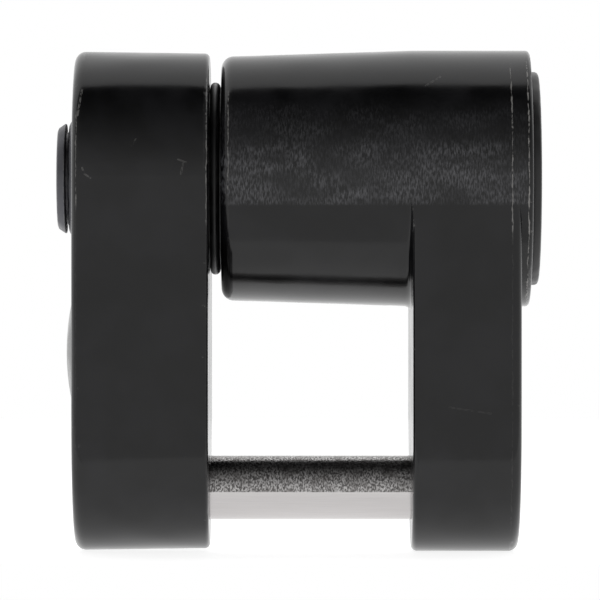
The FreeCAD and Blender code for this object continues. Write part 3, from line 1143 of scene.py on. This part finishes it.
def dust_cap():
    """The moulded cap: a skirt that plugs the barrel, a rounded rim, a ring groove and a crown."""
    low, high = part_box("dust_cap")
    skirt, face = low.x / MM, high.x / MM
    edge = (high.z - low.z) / 2 / MM
    back = face - 1.0
    plug = edge - 0.68
    profile = [
        (back, plug - 1.3),
        (skirt, plug - 1.3),
        (skirt, plug),
        (back, plug),
        (back, edge),
        (face - 0.48, edge),
        (face - 0.26, edge - 0.10),
        (face - 0.15, edge - 0.34),
        (face - 0.13, edge - 1.1),
        (face - 0.27, edge - 1.25),
        (face - 0.27, edge - 1.55),
        (face - 0.12, edge - 1.7),
        (face - 0.06, edge * 0.6),
        (face - 0.02, edge * 0.3),
        (face, edge * 0.06),
    ]
    piece = turn_on_lathe("moulded_cap", profile, middle_z("dust_cap"), 0.05)
    fit_piece(piece, "dust_cap", "dust_cap", "black_rubber")


def coil_spring(name, node):
    """A coil of round wire, as long and as wide as the node, with its ends cut square."""
    low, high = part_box(node)
    wire = SPRING_WIRE_MM * MM
    coil = (high.y - low.y) / 2 - wire
    height = high.z - low.z - 2 * wire
    turns = round(height / (SPRING_PITCH_MM * MM))
    bpy.ops.object.select_all(action="DESELECT")
    bpy.ops.mesh.primitive_circle_add(
        vertices=10, radius=wire, location=(0, 0, 0), rotation=(math.radians(90), 0, 0)
    )
    piece = bpy.context.object
    piece.name = name
    bpy.ops.object.transform_apply(location=False, rotation=True, scale=True)
    bpy.ops.object.mode_set(mode="EDIT")
    bpy.ops.transform.translate(value=(coil, 0, 0))
    bpy.ops.object.mode_set(mode="OBJECT")
    wound = piece.modifiers.new("wound", "SCREW")
    wound.axis = "Z"
    wound.screw_offset = height / turns
    wound.iterations = turns
    wound.steps = 24
    wound.render_steps = 24
    bpy.ops.object.modifier_apply(modifier=wound.name)
    bpy.ops.object.mode_set(mode="EDIT")
    bpy.ops.mesh.select_all(action="SELECT")
    bpy.ops.mesh.fill_holes(sides=0)
    bpy.ops.mesh.select_all(action="SELECT")
    bpy.ops.mesh.normals_make_consistent(inside=False)
    bpy.ops.object.mode_set(mode="OBJECT")
    bpy.ops.object.shade_smooth_by_angle(angle=math.radians(50))
    return piece


def pin_springs():
    """Four coils, each squeezed by its own driver pin against the chamber cover."""
    first = coil_spring("wound_spring_1", "pin_spring_1")
    springs = [first]
    for number in range(2, 5):
        bpy.ops.object.select_all(action="DESELECT")
        first.select_set(True)
        bpy.context.view_layer.objects.active = first
        bpy.ops.object.duplicate(linked=False)
        copy = bpy.context.object
        copy.name = f"wound_spring_{number}"
        springs.append(copy)
    for number, piece in enumerate(springs, start=1):
        node = f"pin_spring_{number}"
        low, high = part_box(node)
        middle = (low + high) / 2
        bpy.ops.object.select_all(action="DESELECT")
        piece.select_set(True)
        bpy.context.view_layer.objects.active = piece
        piece.location = (middle.x, middle.y, low.z + SPRING_WIRE_MM * MM)
        bpy.ops.object.transform_apply(location=True, rotation=True, scale=True)
        fit_piece(piece, node, "lock_body", "spring_steel")
        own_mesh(piece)


# ---------------------------------------------------------------- the studio


def pale_table():
    """The white table top under the lock."""
    low = cad_low.z
    bpy.ops.object.select_all(action="DESELECT")
    bpy.ops.mesh.primitive_plane_add(size=1, location=(0, 0, 0))
    table = bpy.context.object
    table.name = "table_top"
    bpy.ops.object.mode_set(mode="EDIT")
    bpy.ops.transform.resize(value=(TABLE_WIDTH_M, TABLE_DEPTH_M, 1), center_override=(0, 0, 0))
    bpy.ops.transform.translate(value=(0, TABLE_DEPTH_M / 2 - TABLE_FRONT_M, low))
    bpy.ops.object.mode_set(mode="OBJECT")
    finish = bpy.data.materials.new("white_laminate")
    finish.use_nodes = True
    tree = finish.node_tree
    shader = tree.nodes["Principled BSDF"]
    place = add_node(tree, "ShaderNodeTexCoord").outputs["Object"]
    tone = add_node(
        tree,
        "ShaderNodeMix",
        {0: grain(tree, place, 60), 6: linear("#a6a6a6"), 7: linear("#b0b0b0")},
        data_type="RGBA",
    ).outputs[2]
    tree.links.new(tone, shader.inputs["Base Color"])
    shader.inputs["Roughness"].default_value = 0.6
    shader.inputs["Specular IOR Level"].default_value = 0.1
    shader.inputs["Emission Color"].default_value = linear("#ffffff")
    shader.inputs["Emission Strength"].default_value = 0.86
    give_finish(table, finish)


def studio_light():
    """A white tent over and behind the lock, open and dimmer towards the front."""
    world = bpy.data.worlds.new("white_tent")
    bpy.context.scene.world = world
    world.use_nodes = True
    tree = world.node_tree
    tree.nodes.clear()
    direction = add_node(tree, "ShaderNodeTexCoord").outputs["Generated"]
    split = add_node(tree, "ShaderNodeSeparateXYZ", {"Vector": direction})
    front = add_node(
        tree,
        "ShaderNodeMath",
        {0: split.outputs["Y"], 1: -1.0},
        operation="MULTIPLY",
    ).outputs[0]
    up = split.outputs["Z"]
    cloth = add_node(
        tree,
        "ShaderNodeMapRange",
        {"Value": front, "From Min": -0.05, "From Max": -0.02, "To Min": 1.0, "To Max": 0.0},
        interpolation_type="SMOOTHSTEP",
    ).outputs["Result"]
    glow = add_node(
        tree,
        "ShaderNodeMapRange",
        {"Value": up, "From Min": 1.0, "From Max": 0.0, "To Min": 0.01, "To Max": 0.79},
        interpolation_type="LINEAR",
    ).outputs["Result"]
    level = add_node(tree, "ShaderNodeMath", {0: cloth, 1: glow}, operation="MAXIMUM").outputs[0]
    lamp = add_node(tree, "ShaderNodeBackground", {"Color": level})
    seen = add_node(tree, "ShaderNodeBackground", {"Color": (1, 1, 1, 1), "Strength": 1.0})
    ray = add_node(tree, "ShaderNodeLightPath").outputs["Is Camera Ray"]
    chosen = add_node(
        tree,
        "ShaderNodeMixShader",
        {0: ray, 1: lamp.outputs[0], 2: seen.outputs[0]},
    )
    add_node(tree, "ShaderNodeOutputWorld", {"Surface": chosen.outputs[0]})
    bpy.context.scene.view_settings.view_transform = "Standard"


def studio_camera():
    """A long lens, level with the middle of the lock and square to its front."""
    lens = bpy.data.cameras.new("camera")
    lens.sensor_width = CAMERA_SENSOR_MM
    lens.lens = CAMERA_LENS_MM
    lens.clip_start = 0.01
    camera = bpy.data.objects.new("camera", lens)
    bpy.context.scene.collection.objects.link(camera)
    camera.location = (CAMERA_AIM_X_MM * MM, -CAMERA_DISTANCE_MM * MM, CAMERA_AIM_Z_MM * MM)
    camera.rotation_euler = (math.radians(90), 0, 0)
    bpy.context.scene.camera = camera


studio_camera()
studio_light()
pale_table()

head_marks = [
    ((-22.33, 39.2), (-22.7, 36.6), 0.45),
    ((-22.2, 31.5), (-22.0, 30.9), 0.25),
    ((-22.0, 30.9), (-21.4, 30.5), 0.25),
    ((-12.9, 32.3), (-12.1, 32.0), 0.2),
    ((-12.4, 31.9), (-12.6, 30.9), 0.2),
    ((-17.4, 33.6), (-17.0, 34.3), 0.15),
]
body_marks = [
    ((11.3, 39.6), (12.7, 40.5), 0.2),
    ((9.75, -0.6), (9.95, -0.2), 0.8),
    ((13.5, 8.2), (17.5, 7.6), 0.06),
]
head_crests = [(-22.85, 28.5, 36.5, 0.4), (-10.15, 27.0, 40.0, 0.45)]
body_crests = [
    (19.62, 25.9, 41.2, 0.6),
    (21.25, 19.5, 41.5, 0.75),
    (-8.05, 30.0, 38.5, 0.45),
]
casting = black_coated_zinc("black_coated_zinc_head", 0.22, head_marks, crests=head_crests)
# the barrel's painted highlight strip with linishing hairs: z 27.9 to 39.3, full up to 32.7
barrel_casting = black_coated_zinc(
    "black_coated_zinc_body", 0.10, body_marks, (27.9, 32.7, 39.3), body_crests
)
finishes = {
    "black_coated_zinc": casting,
    "bare_steel": bare_steel(),
    "black_steel": black_steel(),
    "spring_steel": spring_steel(),
    "black_rubber": black_rubber(),
    "black_medallion": black_medallion(),
    "plated_zinc": plated_zinc(),
    "nickel_brass": nickel_brass(),
    "pin_brass": pin_brass(),
}
for part in frame["record"]["subparts"]:
    give_finish(frame["nodes"][part["node"]], finishes[part["material_slot"]])
give_finish(frame["nodes"]["lock_body"], barrel_casting)

locking_stud()
stud_washer()
blank_medallion()
dust_cap()
pin_springs()
